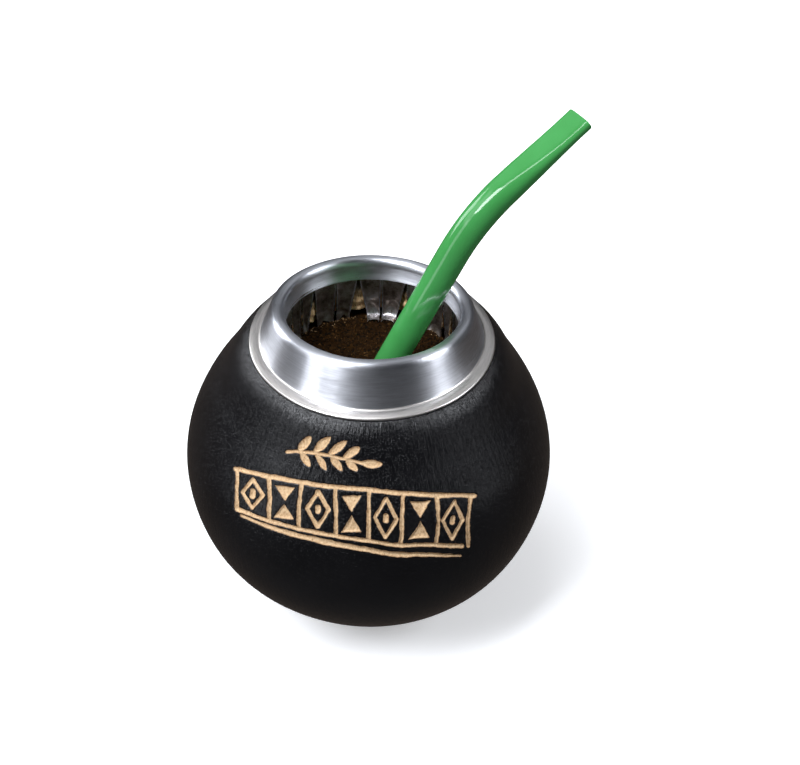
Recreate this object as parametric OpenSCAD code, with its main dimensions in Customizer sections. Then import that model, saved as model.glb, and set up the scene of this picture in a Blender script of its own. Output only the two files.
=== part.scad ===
// Mate served in a calabash gourd cup: a round black gourd with a spun metal collar round
// its mouth, a packed fill of ground mate and a bent drinking straw standing in it.
// Millimetres. The origin is the middle of the small flat spot the gourd rests on, +Z is up
// and the straw leans towards +X.

/* [Gourd] */
// Outer diameter at the widest level
gourd_d = 90; // [84:1:110]
// Depth of the round belly below the widest level, before the resting spot is cut
belly_h = 41.5; // [37:0.5:56]
// Rise of the crown above the widest level, if it ran on to a closed top
crown_h = 42; // [38:0.5:54]
// Share by which the crown is slimmer than an ellipse near its top
crown_taper = 0.1; // [0:0.01:0.15]
// Diameter of the flat spot that the gourd rests on
spot_d = 22; // [14:1:30]
// Wall of the hollowed gourd, round its belly
gourd_wall = 5; // [3:0.5:6]
// Wall of the gourd at the top of its cavity, where the crown is left thick
crown_wall = 9.5; // [5:0.5:10]
// Height of the cut rim of the gourd above the collar's foot, inside the collar
rim_h = 5.6; // [4:0.1:6.2]

/* [Collar] */
// Diameter of the collar's foot, at the outer edge of its flange
foot_d = 56.6; // [53:0.2:62]
// Height of the foot's lower edge above the gourd's widest level
foot_level = 33.3; // [31:0.1:36]
// Height of the collar from its foot to the top of its lip
collar_h = 9.3; // [8.4:0.1:12]
// Width of the flange that lies on the gourd's shoulder
flange_w = 2.6; // [1.6:0.1:3.6]
// Angle at which the flange slopes up towards the cone
flange_slope = 15; // [5:1:25]
// Clear diameter inside the lip, where the drink is reached
mouth_d = 39.8; // [36:0.2:42]
// Outer radius of the rolled lip
lip_roll_r = 1.75; // [1.2:0.05:2.2]
// Thickness of the metal sheet
sheet_t = 0.6; // [0.4:0.05:0.9]
// Depth of the skirt of tabs inside the mouth, below the top of the lip
skirt_depth = 16; // [10:0.5:16.5]
// Depth at which the slits between the tabs start, below the top of the lip
slit_depth = 5.6; // [4:0.1:8]
// Number of tabs in the skirt
tab_count = 20; // [12:1:28]
// Width of a slit at its lower, open end
slit_w = 1.8; // [0.8:0.1:2.6]
// Width of a slit at its upper end
slit_top_w = 0.3; // [0.2:0.05:0.6]

/* [Mate] */
// Height of the middle of the mate's surface above the gourd's widest level
mate_level = 26; // [14:0.5:26]
// Drop of the mate's surface from its middle to the gourd's wall
mate_fall = 0.9; // [0:0.1:3]

/* [Straw] */
// Outer diameter of the straw's tube
straw_d = 7; // [5.6:0.1:8]
// Wall of the straw
straw_wall = 1; // [0.7:0.1:1.4]
// Where the straw's axis passes the mate's surface, along X
straw_x = 3; // [0:0.5:5]
// Where the straw's axis passes the mate's surface, along Y
straw_y = -2.4; // [-5:0.2:0]
// Length of the straw below the mate's surface, along its axis
straw_sunk = 55; // [20:1:58]
// Length of the straw from the mate's surface to the start of its bend
straw_rise = 34; // [24:1:50]
// Lean of the lower length of the straw from upright
straw_lean = 25.7; // [22:0.1:28]
// Heading of the lower length of the straw, from +X towards +Y
straw_heading = 8.5; // [0:0.5:15]
// Radius of the bend, at the tube's axis
bend_r = 33; // [25:1:50]
// Lean of the mouthpiece from upright
mouthpiece_lean = 55.4; // [45:0.1:70]
// Heading of the mouthpiece, from +X towards +Y
mouthpiece_heading = 28.5; // [10:0.5:40]
// Length of the straight mouthpiece past the bend
mouthpiece_l = 22; // [14:1:35]
// Width of the flattened mouthpiece
mouthpiece_w = 6.9; // [5:0.1:8]
// Thickness of the flattened mouthpiece
mouthpiece_t = 2.8; // [2.6:0.1:5]
// Twist of the flattened mouth about the tube, against the plane of the bend
mouthpiece_twist = 8; // [0:1:20]
// Length over which the round tube turns flat, back from its tip
flatten_l = 31; // [20:1:38]

/* [Hidden] */
$fn = 96;
// Space left between pieces that are pressed or packed together
fit_gap = 0.1;
// Overlap of a cutting shape past the face it cuts
cut = 1;

// Gourd: the widest level stands at waist_z, and the outline is worked out above it.
gourd_r = gourd_d / 2;
spot_a = acos(spot_d / gourd_d);
waist_z = belly_h * sin(spot_a);
arc_step = 5;
// The crown widens into a shoulder between this angle and the collar's seat.
shoulder_a = 34;

// Collar: radii and heights of its outer face; heights are above the widest level.
foot_r = foot_d / 2;
mouth_r = mouth_d / 2;
crease_r = foot_r - flange_w;
crease_z = foot_level + sheet_t / cos(flange_slope) + flange_w * tan(flange_slope);
lip_top = foot_level + collar_h;
lip_r = mouth_r + lip_roll_r;
lip_z = lip_top - lip_roll_r;
// The cone runs from the crease to where it touches the lip's roll.
lip_away = norm([lip_r - crease_r, lip_z - crease_z]);
cone_a = atan2(crease_r - lip_r, lip_z - crease_z) - asin(lip_roll_r / lip_away);
skirt_r = mouth_r + sheet_t;
// The flange lies on the gourd to just inside its own outer edge.
foot_overhang = 0.2;
seat_r = foot_r - foot_overhang;
seat_z = flange_z(seat_r, sheet_t + fit_gap);
seat_a = asin(seat_z / crown_h);
rim_z = foot_level + rim_h;

// Cavity of the gourd, an ellipse below and above the widest level.
cavity_r = gourd_r - gourd_wall;
cavity_belly = belly_h - gourd_wall;
cavity_crown = crown_h - crown_wall;
hole_r = skirt_r + fit_gap;
hole_a = acos(hole_r / cavity_r);

// Mate: it fills the cavity up to its surface.
mate_r = cavity_r - fit_gap;
mate_edge_a = asin((mate_level - mate_fall) / (cavity_crown - fit_gap));
mate_edge_r = mate_r * cos(mate_edge_a);
mate_rings = 12;

// Straw: one straight length, one bend in a plane, one straight mouthpiece.
straw_sides = 28;
bend_rings = 10;
mouthpiece_rings = 9;
mouthpiece_squareness = 6;
low_dir = heading_vector(straw_lean, straw_heading);
high_dir = heading_vector(mouthpiece_lean, mouthpiece_heading);
bend_a = acos(low_dir * high_dir);
bend_in = unit(high_dir - low_dir * (low_dir * high_dir));
bend_side = cross(low_dir, bend_in);
straw_entry = [straw_x, straw_y, waist_z + mate_level];
straw_foot = straw_entry - low_dir * straw_sunk;
bend_start = straw_entry + low_dir * straw_rise;
bend_end = bend_point(bend_a);

function unit(v) = v / norm(v);
function heading_vector(lean, heading) =
    [sin(lean) * cos(heading), sin(lean) * sin(heading), cos(lean)];
function ease(x) = let (t = min(1, max(0, x))) t * t * (3 - 2 * t);
function mix(a, b, t) = a + (b - a) * t;

// Angles from a to b in even steps of about arc_step, both ends included.
function sweep(a, b) =
    let (n = max(2, ceil(abs(b - a) / arc_step)))
    [for (i = [0 : n]) mix(a, b, i / n)];

// Height of the flange's face at radius r, and radius of the cone's face at height z,
// each moved inwards by depth.
function flange_z(r, depth) =
    crease_z - (r - crease_r) * tan(flange_slope) - depth / cos(flange_slope);
function cone_r(z, depth) = crease_r - (z - crease_z) * tan(cone_a) - depth / cos(cone_a);

// The crease between flange and cone, moved inwards by depth.
function crease(depth) =
    let (
        tf = tan(flange_slope),
        tc = tan(cone_a),
        x = depth * (tc / cos(flange_slope) - 1 / cos(cone_a)) / (1 - tf * tc)
    )
    [crease_r + x, crease_z - x * tf - depth / cos(flange_slope)];

// The lip's roll, from the cone over the top to the inside of the mouth.
function lip_arc(radius) =
    [for (a = sweep(cone_a, 180)) [lip_r + radius * cos(a), lip_z + radius * sin(a)]];

function crown_r(a) = gourd_r * cos(a) * (1 - crown_taper * pow(sin(a), 2));
function shoulder_r(a) =
    crown_r(a) + (seat_r - crown_r(seat_a)) * ease((a - shoulder_a) / (seat_a - shoulder_a));

// Lower half of an ellipse, from its lowest angle up to the widest level.
function belly(r, h, low_a) = [for (a = sweep(-low_a, 0)) [r * cos(a), h * sin(a)]];

function gourd_outline() = concat(
    [[0, -waist_z]],
    belly(gourd_r, belly_h, spot_a),
    [for (a = sweep(0, seat_a)) if (a > 0) [shoulder_r(a), crown_h * sin(a)]],
    [crease(sheet_t + fit_gap)],
    [[cone_r(rim_z, sheet_t + fit_gap), rim_z], [hole_r, rim_z]],
    [for (a = sweep(hole_a, 0)) [cavity_r * cos(a), cavity_crown * sin(a)]],
    [for (a = sweep(0, -90)) if (a < 0) [max(0, cavity_r * cos(a)), cavity_belly * sin(a)]]
);

function collar_outline() = concat(
    [[foot_r, foot_level], [foot_r, foot_level + sheet_t], crease(0)],
    lip_arc(lip_roll_r),
    [[mouth_r, lip_top - skirt_depth], [skirt_r, lip_top - skirt_depth]],
    reverse(lip_arc(lip_roll_r - sheet_t)),
    [crease(sheet_t)]
);
function reverse(list) = [for (i = [len(list) - 1 : -1 : 0]) list[i]];

function mate_outline() = concat(
    [for (a = sweep(-90, 0)) [max(0, mate_r * cos(a)), (cavity_belly - fit_gap) * sin(a)]],
    [for (a = sweep(0, mate_edge_a)) if (a > 0) [mate_r * cos(a), (cavity_crown - fit_gap) * sin(a)]],
    [for (i = [1 : mate_rings]) mate_surface(mate_edge_r * (1 - i / mate_rings))]
);
function mate_surface(r) = [r, mate_level - mate_fall * pow(r / mate_edge_r, 2)];

// The bend: a point and a direction at an angle past its start.
function bend_point(a) = bend_start + bend_r * (sin(a) * low_dir + (1 - cos(a)) * bend_in);
function bend_dir(a) = cos(a) * low_dir + sin(a) * bend_in;

// Stations along the straw: [point, direction, how far it is flattened].
function straw_stations() = concat(
    [[straw_foot, low_dir, 0], [straw_entry, low_dir, 0]],
    [for (i = [0 : bend_rings])
        let (a = bend_a * i / bend_rings, left = bend_r * (bend_a - a) * PI / 180)
        [bend_point(a), bend_dir(a), flatness(mouthpiece_l + left)]],
    [for (i = [1 : mouthpiece_rings])
        let (t = i / mouthpiece_rings)
        [bend_end + high_dir * mouthpiece_l * t, high_dir, flatness(mouthpiece_l * (1 - t))]]
);

// How flat the tube is at a distance from its tip: 0 where it is round, 1 at the mouth.
function flatness(to_tip) = ease(1.1 * (1 - to_tip / flatten_l));

// One ring of the tube, inset by depth: a circle that turns into a rounded rectangle.
function ring(station, depth) =
    let (
        flat = station[2],
        across = mix(straw_d, mouthpiece_w, flat) / 2 - depth,
        through = mix(straw_d, mouthpiece_t, flat) / 2 - depth,
        power = 2 / mix(2, mouthpiece_squareness, flat),
        twist = mouthpiece_twist * flat,
        bend_up = cross(bend_side, station[1]),
        side = cos(twist) * bend_side + sin(twist) * bend_up,
        up = cross(side, station[1])
    )
    [for (k = [0 : straw_sides - 1])
        let (c = cos(360 * k / straw_sides), s = sin(360 * k / straw_sides))
        station[0]
            + side * across * sign(c) * pow(abs(c), power)
            + up * through * sign(s) * pow(abs(s), power)];

// Faces of a tube wall between two skins of the same rings, the outer one first.
function tube_faces(rings, sides) =
    let (inner = rings * sides, last = (rings - 1) * sides)
    concat(
        [for (r = [0 : rings - 2], k = [0 : sides - 1]) let (n = (k + 1) % sides)
            [r * sides + k, r * sides + n, (r + 1) * sides + n, (r + 1) * sides + k]],
        [for (r = [0 : rings - 2], k = [0 : sides - 1]) let (n = (k + 1) % sides)
            [inner + r * sides + n, inner + r * sides + k,
                inner + (r + 1) * sides + k, inner + (r + 1) * sides + n]],
        [for (k = [0 : sides - 1]) let (n = (k + 1) % sides) [n, k, inner + k, inner + n]],
        [for (k = [0 : sides - 1]) let (n = (k + 1) % sides)
            [last + k, last + n, inner + last + n, inner + last + k]]
    );

// Turn an outline, given above the widest level, into a round solid standing on z = 0.
module turned(outline) {
    translate([0, 0, waist_z])
        rotate_extrude()
            polygon(outline);
}

// The hollow calabash, cut off at its rim under the collar.
module gourd() {
    color("#1b1b1e")
        turned(gourd_outline());
}

// One slit between two tabs: a narrow V, open at the bottom.
module slit() {
    height = skirt_depth - slit_depth;
    translate([mouth_r - cut, 0, waist_z + lip_top - skirt_depth])
        rotate([90, 0, 90])
            linear_extrude(sheet_t + 2 * cut)
                polygon([
                    [-slit_w / 2, -cut],
                    [slit_w / 2, -cut],
                    [slit_top_w / 2, height],
                    [-slit_top_w / 2, height]
                ]);
}

// The spun sheet collar: flange, cone, rolled lip and a slit skirt inside the mouth.
module collar() {
    color("#b9bcc2")
        difference() {
            turned(collar_outline());
            for (i = [0 : tab_count - 1])
                rotate([0, 0, 360 * i / tab_count])
                    slit();
        }
}

// The room the straw takes up inside the mate.
module straw_room() {
    translate(straw_foot)
        rotate([0, straw_lean, straw_heading])
            translate([0, 0, -fit_gap])
                cylinder(r = straw_d / 2 + fit_gap, h = straw_sunk + straw_rise);
}

// The packed mate, up to its surface, with the straw standing in it.
module mate() {
    color("#3c2614")
        difference() {
            turned(mate_outline());
            straw_room();
        }
}

// The bent straw, a tube with a flattened mouthpiece, open at both ends.
module straw() {
    stations = straw_stations();
    outer = [for (s = stations) each ring(s, 0)];
    inner = [for (s = stations) each ring(s, straw_wall)];
    color("#56b968")
        polyhedron(concat(outer, inner), tube_faces(len(stations), straw_sides), convexity = 6);
}

gourd();
collar();
mate();
straw();
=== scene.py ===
"""The looks of the mate gourd drink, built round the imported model.

Shapes are worked out in millimetres in the row frame and turned into metres when a mesh is
made. The gourd, its collar, the mate and the straw each get a finer mesh than the CAD solid
that they stand for, with the unevenness of hand-made things.
"""
import math

import bpy
import numpy as np
from mathutils import Matrix, Vector


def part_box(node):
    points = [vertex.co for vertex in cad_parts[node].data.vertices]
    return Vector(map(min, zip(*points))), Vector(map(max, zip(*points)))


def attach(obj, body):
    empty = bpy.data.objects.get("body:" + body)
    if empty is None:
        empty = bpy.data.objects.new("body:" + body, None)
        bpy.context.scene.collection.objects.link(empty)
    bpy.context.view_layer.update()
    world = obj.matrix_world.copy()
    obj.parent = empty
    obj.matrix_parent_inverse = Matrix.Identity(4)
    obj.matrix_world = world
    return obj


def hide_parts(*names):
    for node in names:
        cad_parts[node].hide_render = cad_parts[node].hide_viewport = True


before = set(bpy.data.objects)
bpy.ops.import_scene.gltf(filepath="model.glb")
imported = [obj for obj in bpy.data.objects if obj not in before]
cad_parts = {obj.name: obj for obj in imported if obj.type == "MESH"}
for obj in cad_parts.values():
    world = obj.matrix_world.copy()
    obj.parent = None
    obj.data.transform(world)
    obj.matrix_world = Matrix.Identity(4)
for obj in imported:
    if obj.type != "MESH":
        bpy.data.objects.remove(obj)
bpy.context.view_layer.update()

MM = 0.001
BODY = "root"


# -------- sizes, in millimetres

def corners(node):
    """Lowest and highest corner of a CAD node."""
    low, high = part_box(node)
    return np.array(low) / MM, np.array(high) / MM


_, GOURD_HIGH = corners("gourd")
COLLAR_LOW, COLLAR_HIGH = corners("collar")
_, MATE_HIGH = corners("mate")

GOURD_R = GOURD_HIGH[0]
WIDEST = max(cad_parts["gourd"].data.vertices, key=lambda v: v.co.x ** 2 + v.co.y ** 2)
WAIST_Z = WIDEST.co.z / MM
CENTRE = np.array([0.0, 0.0, WAIST_Z])

# Gourd, with heights above its widest level.
BELLY_H = 41.5
CROWN_H = 42.0
CROWN_TAPER = 0.1
SPOT_R = 11.0
WALL = 5.0
CROWN_WALL = 9.5
FLAT_SIDE = 0.75
SHOULDER_ANGLE = 34.0
RIM = GOURD_HIGH[2] - WAIST_Z

# Collar, with heights above the gourd's widest level. A squareness of 2 is a round section.
FOOT_R = COLLAR_HIGH[0]
FOOT_Z = 33.65
SHEET = 0.6
EDGE_R = 0.36
CREASE_R = 25.75
CREASE_Z = 34.75
LIP_TOP = COLLAR_HIGH[2] - WAIST_Z
LIP_ROLL = 1.75
LIP_R = 21.65
LIP_SQUARENESS = 2.7
MOUTH_R = LIP_R - LIP_ROLL
SKIRT_TOP = 37.1
SKIRT_LOW = COLLAR_LOW[2] - WAIST_Z
# The torn flesh stands back behind the tabs that are folded down over it.
BARK_R = 21.8
# The collar was pressed on by hand: its foot rises to the back, its lip dips a little.
FOOT_TILT = 3.5
LIP_TILT = -1.1
LIP_TILT_X = -0.28

# Mate, a little clear of the gourd.
MATE_TOP = MATE_HIGH[2] - WAIST_Z
MATE_FALL = 0.9
MATE_GAP = 0.15
MATE_R = 24.7

# Straw.
STRAW_R = 3.5
STRAW_WALL = 1.0
STRAW_AT = (3.0, -2.4)
STRAW_SUNK = 55.0
STRAW_RISE = 34.0
STRAW_LEAN = (25.7, 8.5)
BEND_R = 33.0
MOUTHPIECE_LEAN = (55.4, 28.5)
MOUTHPIECE_L = 22.0
MOUTHPIECE_W = 6.9
MOUTHPIECE_T = 2.8
MOUTHPIECE_TWIST = 8.0
MOUTHPIECE_SQUARENESS = 3.2
FLATTEN_L = 31.0
TIP_ROUND = 0.28

# Camera: seen from the gourd's centre, and where it looks.
CAMERA_AWAY = 300.0
CAMERA_UP = 41.08
CAMERA_YAW = 1.70
CAMERA_DOWN = 37.97
CAMERA_ROLL = 1.59
CAMERA_LENS = 54.4


# -------- numbers and noise

def ease(x):
    """A smooth step from 0 to 1 as x goes from 0 to 1."""
    t = np.clip(x, 0.0, 1.0)
    return t * t * (3.0 - 2.0 * t)


def mix(a, b, t):
    return a + (b - a) * t


def srgb(red, green, blue):
    """A linear colour from the red, green and blue of a screen, 0 to 255."""
    def linear(c):
        c = c / 255.0
        return c / 12.92 if c <= 0.04045 else ((c + 0.055) / 1.055) ** 2.4
    return (linear(red), linear(green), linear(blue), 1.0)


def lattice(cell, seed):
    """A repeatable number from -1 to 1 for each whole-number cell."""
    x, y, z = (cell[..., k].astype(np.int64).astype(np.uint32) for k in range(3))
    h = x * np.uint32(374761393) + y * np.uint32(668265263) + z * np.uint32(2246822519)
    h += np.uint32(seed * 3266489917 % 4294967296)
    h = (h ^ (h >> np.uint32(15))) * np.uint32(2654435761)
    h = (h ^ (h >> np.uint32(13))) * np.uint32(3266489917)
    h ^= h >> np.uint32(16)
    return h.astype(np.float64) / 2147483647.5 - 1.0


def noise(points, size, seed):
    """Smooth noise from -1 to 1 whose bumps are about size across."""
    p = np.asarray(points, float) / size
    cell = np.floor(p)
    t = p - cell
    t = t * t * (3.0 - 2.0 * t)
    total = 0.0
    for dx in (0, 1):
        for dy in (0, 1):
            for dz in (0, 1):
                weight = (t[..., 0] if dx else 1 - t[..., 0])
                weight = weight * (t[..., 1] if dy else 1 - t[..., 1])
                weight = weight * (t[..., 2] if dz else 1 - t[..., 2])
                total = total + weight * lattice(cell + (dx, dy, dz), seed)
    return total


def rough(points, size, layers, seed):
    """Noise in several layers, each half the size and strength of the last."""
    total = 0.0
    for k in range(layers):
        total = total + noise(points, size / 2 ** k, seed + 17 * k) / 2 ** k
    return total


def heading(lean, toward):
    """Unit vector that leans from upright, towards a heading from +X."""
    a, b = math.radians(lean), math.radians(toward)
    return np.array([math.sin(a) * math.cos(b), math.sin(a) * math.sin(b), math.cos(a)])


def view_axes(yaw, down):
    """Directions right, up and ahead for a view turned by yaw from +Y and tipped down."""
    a, b = math.radians(yaw), math.radians(down)
    right = np.array([math.cos(a), -math.sin(a), 0.0])
    ahead = np.array([math.sin(a) * math.cos(b), math.cos(a) * math.cos(b), -math.sin(b)])
    return right, np.cross(right, ahead), ahead


def arc(centre, radius, start, end, steps):
    """Points on an arc in a profile, angles in degrees."""
    angles = np.radians(np.linspace(start, end, steps))
    return [(centre[0] + radius * math.cos(a), centre[1] + radius * math.sin(a)) for a in angles]


# -------- meshes

def show(thing):
    """Put an object in the scene."""
    bpy.context.scene.collection.objects.link(thing)


def mesh_piece(name, points, faces, materials, nodes=(), face_slots=None, sharp=None):
    """A mesh object from points in millimetres, smooth but for edges sharper than an angle."""
    mesh = bpy.data.meshes.new(name)
    faces = [f.tolist() if hasattr(f, "tolist") else list(f) for f in faces]
    mesh.from_pydata((np.asarray(points) * MM).tolist(), [], faces)
    for material in materials:
        mesh.materials.append(material)
    mesh.polygons.foreach_set("use_smooth", np.ones(len(mesh.polygons), bool))
    if face_slots is not None:
        mesh.polygons.foreach_set("material_index", np.asarray(face_slots, np.int32))
    mesh.update()
    if sharp is not None:
        mesh.set_sharp_from_angle(angle=math.radians(sharp))
    piece = bpy.data.objects.new(name, mesh)
    show(piece)
    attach(piece, BODY)
    if nodes:
        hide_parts(*nodes)
    return piece


def point_values(piece, name, values):
    """Store one number per point of a piece, for its material to read."""
    layer = piece.data.attributes.new(name, "FLOAT", "POINT")
    layer.data.foreach_set("value", np.asarray(values, np.float32))


def ring_faces(rows, cols, first=0):
    """Quads between rows of a grid whose columns close on themselves."""
    r, c = np.meshgrid(np.arange(rows - 1), np.arange(cols), indexing="ij")
    n = (c + 1) % cols
    quad = np.stack([r * cols + c, r * cols + n, (r + 1) * cols + n, (r + 1) * cols + c], -1)
    return quad.reshape(-1, 4) + first


def lathe(profile, angles):
    """Points of a turned profile of (radius, height), one row per profile point."""
    profile = np.asarray(profile, float)
    a = np.radians(angles)
    x = profile[:, :1] * np.cos(a)
    y = profile[:, :1] * np.sin(a)
    z = np.repeat(profile[:, 1:2], len(angles), axis=1)
    return np.stack([x, y, z], -1)


def fan(pole, row_start, cols, flip=False):
    """Triangles from a pole to a closed row."""
    c = np.arange(cols)
    n = (c + 1) % cols
    tri = np.stack([np.full(cols, pole), row_start + n, row_start + c], -1)
    return tri[:, ::-1] if flip else tri


# -------- materials

class Nodes:
    """A node tree with a few short calls for making and joining its nodes."""

    def __init__(self, tree):
        self.tree = tree

    def feed(self, socket, value):
        """Set a socket to a value, or join another node's output to it."""
        if isinstance(value, bpy.types.NodeSocket):
            self.tree.links.new(value, socket)
        else:
            socket.default_value = value

    def put(self, node, settings):
        for key, value in settings.items():
            self.feed(node.inputs[key.replace("_", " ")], value)

    def add(self, kind, settings=None, **properties):
        node = self.tree.nodes.new(kind)
        for key, value in properties.items():
            setattr(node, key, value)
        self.put(node, settings or {})
        return node

    def split(self, vector):
        return self.add("ShaderNodeSeparateXYZ", {"Vector": vector}).outputs

    def stretch(self, vector, scale):
        return self.add("ShaderNodeMapping", {"Vector": vector, "Scale": scale}).outputs[0]

    def clouds(self, vector, scale, detail, roughness=0.5):
        settings = {"Vector": vector, "Scale": scale, "Detail": detail, "Roughness": roughness}
        return self.add("ShaderNodeTexNoise", settings).outputs["Fac"]

    def math(self, kind, a, b=0.0):
        node = self.add("ShaderNodeMath", operation=kind)
        for socket, value in zip(node.inputs, (a, b)):
            self.feed(socket, value)
        return node.outputs[0]

    def plus(self, a, b):
        return self.math("ADD", a, b)

    def times(self, a, b):
        return self.math("MULTIPLY", a, b)

    def from_axis(self, x, y):
        """Distance from the upright axis."""
        return self.math("SQRT", self.plus(self.times(x, x), self.times(y, y)))

    def span(self, value, low, high, to_low=0.0, to_high=1.0):
        settings = {"Value": value, "From_Min": low, "From_Max": high}
        settings.update({"To_Min": to_low, "To_Max": to_high})
        return self.add("ShaderNodeMapRange", settings).outputs[0]

    def ramp(self, value, stops):
        node = self.add("ShaderNodeValToRGB", {"Fac": value})
        elements = node.color_ramp.elements
        while len(elements) < len(stops):
            elements.new(0.5)
        for element, (where, colour) in zip(elements, stops):
            element.position = where
            element.color = colour
        return node.outputs["Color"]

    def blend(self, factor, a, b):
        node = self.add("ShaderNodeMix", data_type="RGBA")
        # A Mix node's colour sockets are its inputs 6 and 7 and its output 2.
        for index, value in ((0, factor), (6, a), (7, b)):
            self.feed(node.inputs[index], value)
        return node.outputs[2]


class Paint(Nodes):
    """A material whose nodes are made by short calls."""

    def __init__(self, name, **settings):
        self.material = bpy.data.materials.new(name)
        self.material.use_nodes = True
        super().__init__(self.material.node_tree)
        self.surface = self.tree.nodes["Principled BSDF"]
        self.put(self.surface, settings)

    def place(self):
        return self.add("ShaderNodeTexCoord").outputs["Object"]

    def attribute(self, name):
        return self.add("ShaderNodeAttribute", attribute_name=name).outputs["Fac"]

    def bump(self, height, distance, strength=1.0):
        settings = {"Height": height, "Distance": distance, "Strength": strength}
        return self.add("ShaderNodeBump", settings).outputs["Normal"]

    def finish(self, **settings):
        self.put(self.surface, settings)
        return self.material


def meridian_place(p, squash):
    """Coordinates for streaks that run down the gourd from its neck to its foot."""
    x, y, z = p.split(p.place())
    swell = p.math("DIVIDE", GOURD_R * MM, p.math("MAXIMUM", p.from_axis(x, y), 0.001))
    settings = {"X": p.times(x, swell), "Y": p.times(y, swell), "Z": p.times(z, squash)}
    return p.add("ShaderNodeCombineXYZ", settings).outputs[0]


def gourd_paint():
    """Black stain over a fine leathery grain, cut through to tan wood in the carving."""
    p = Paint("black_gourd", IOR=1.45)
    p.surface.inputs["Specular IOR Level"].default_value = 0.44
    where = p.place()
    streaks = p.clouds(meridian_place(p, 0.22), 1500.0, 3.0, 0.6)
    bands = p.clouds(meridian_place(p, 0.2), 520.0, 2.0)
    grain = p.clouds(where, 2300.0, 3.0, 0.6)
    pores = p.span(p.clouds(where, 3000.0, 1.0), 0.3, 0.42)
    mottle = p.clouds(where, 90.0, 2.0)
    fibres = p.clouds(p.stretch(where, (2600.0, 2600.0, 1300.0)), 1.0, 4.0, 0.6)
    wobble = p.span(p.clouds(where, 2600.0, 2.0), 0.25, 0.75, -0.07, 0.07)
    cut = p.span(p.plus(p.attribute("carve"), wobble), -0.04, 0.05)
    black = p.blend(p.span(mottle, 0.35, 0.7), srgb(11, 11, 13), srgb(17, 17, 19))
    tan = p.ramp(fibres, [(0.26, srgb(150, 112, 74)), (0.38, srgb(204, 168, 126)),
                          (0.55, srgb(227, 195, 153)), (0.8, srgb(238, 214, 178))])
    rim = p.span(p.attribute("carve"), -0.02, 0.16)
    tan = p.blend(rim, srgb(134, 96, 60), tan)
    bark = p.ramp(fibres, [(0.3, srgb(150, 108, 66)), (0.45, srgb(226, 184, 132)),
                           (0.66, srgb(250, 220, 176))])
    # Bare flesh, kept dark at the top of the mouth hole as painted shade.
    flesh = p.attribute("flesh")
    relief = p.plus(p.times(streaks, 1.3), p.times(grain, 0.15))
    relief = p.plus(relief, p.times(pores, 0.35))
    relief = p.plus(relief, p.times(bands, 0.5))
    bare = p.math("MAXIMUM", cut, flesh)
    return p.finish(
        Base_Color=p.blend(cut, p.blend(flesh, black, bark), tan),
        Roughness=p.math("MAXIMUM", p.span(grain, 0.3, 0.7, 0.15, 0.22), p.times(bare, 0.8)),
        Normal=p.bump(relief, 0.00015),
    )


ALUMINIUM = (0.80, 0.82, 0.87, 1.0)
# The flange is the same aluminium as the cone: its warmer tint is a painted reflection of warm
# surroundings.
ALUMINIUM_WARM_REFLECTION = (0.81, 0.775, 0.735, 1.0)


def brushed_paint(name, tint, roughness, stretch, relief):
    """Spun aluminium: fine lines round the axis, and streaks of light across them."""
    p = Paint(name, Metallic=1.0, Anisotropic=stretch)
    p.surface.inputs["Anisotropic Rotation"].default_value = 0.25
    tangent = p.add("ShaderNodeTangent", direction_type="RADIAL", axis="Z").outputs[0]
    x, y, z = p.split(p.place())
    turn = p.times(p.math("ARCTAN2", y, x), 0.0016)
    line = p.add("ShaderNodeCombineXYZ", {"X": p.from_axis(x, y), "Y": z, "Z": turn}).outputs[0]
    lines = p.clouds(line, 2600.0, 5.0, 0.75)
    wide = p.clouds(line, 700.0, 2.0)
    shade = p.ramp(lines, [(0.32, tuple(0.80 * c for c in tint[:3]) + (1.0,)), (0.62, tint)])
    rub = p.span(p.plus(lines, p.times(wide, 0.6)), 0.5, 1.1, roughness - 0.04, roughness + 0.06)
    return p.finish(
        Base_Color=shade,
        Roughness=rub,
        Tangent=tangent,
        Normal=p.bump(lines, relief, strength=0.8),
    )


def tab_paint():
    """Folded sheet ends: a brown stain that partly stands in as a painted reflection of the mate,
    with painted highlights along their cut edges and folded ends.
    """
    p = Paint("tabs_stain_and_painted_light", Metallic=1.0)
    where = p.place()
    crumple = p.clouds(where, 420.0, 2.0)
    stain_and_reflection = p.clouds(where, 240.0, 4.0, 0.7)
    rub = p.clouds(p.stretch(where, (1.0, 1.0, 0.3)), 2200.0, 2.0)
    # The brown of the stain is partly a painted reflection of the mate in the tabs.
    dull = p.ramp(stain_and_reflection, [(0.34, srgb(84, 72, 62)), (0.52, srgb(144, 134, 126)),
                          (0.72, srgb(196, 194, 196))])
    # Painted highlight: paler, smoother metal along cut edges and folded ends.
    painted_glint = p.times(p.attribute("painted_glint"), p.span(rub, 0.3, 0.55))
    return p.finish(
        Base_Color=p.blend(painted_glint, dull, srgb(226, 226, 230)),
        Roughness=p.math("SUBTRACT", p.span(stain_and_reflection, 0.3, 0.7, 0.52, 0.42), p.times(painted_glint, 0.2)),
        Normal=p.bump(crumple, 0.0002, strength=0.5),
    )


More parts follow.
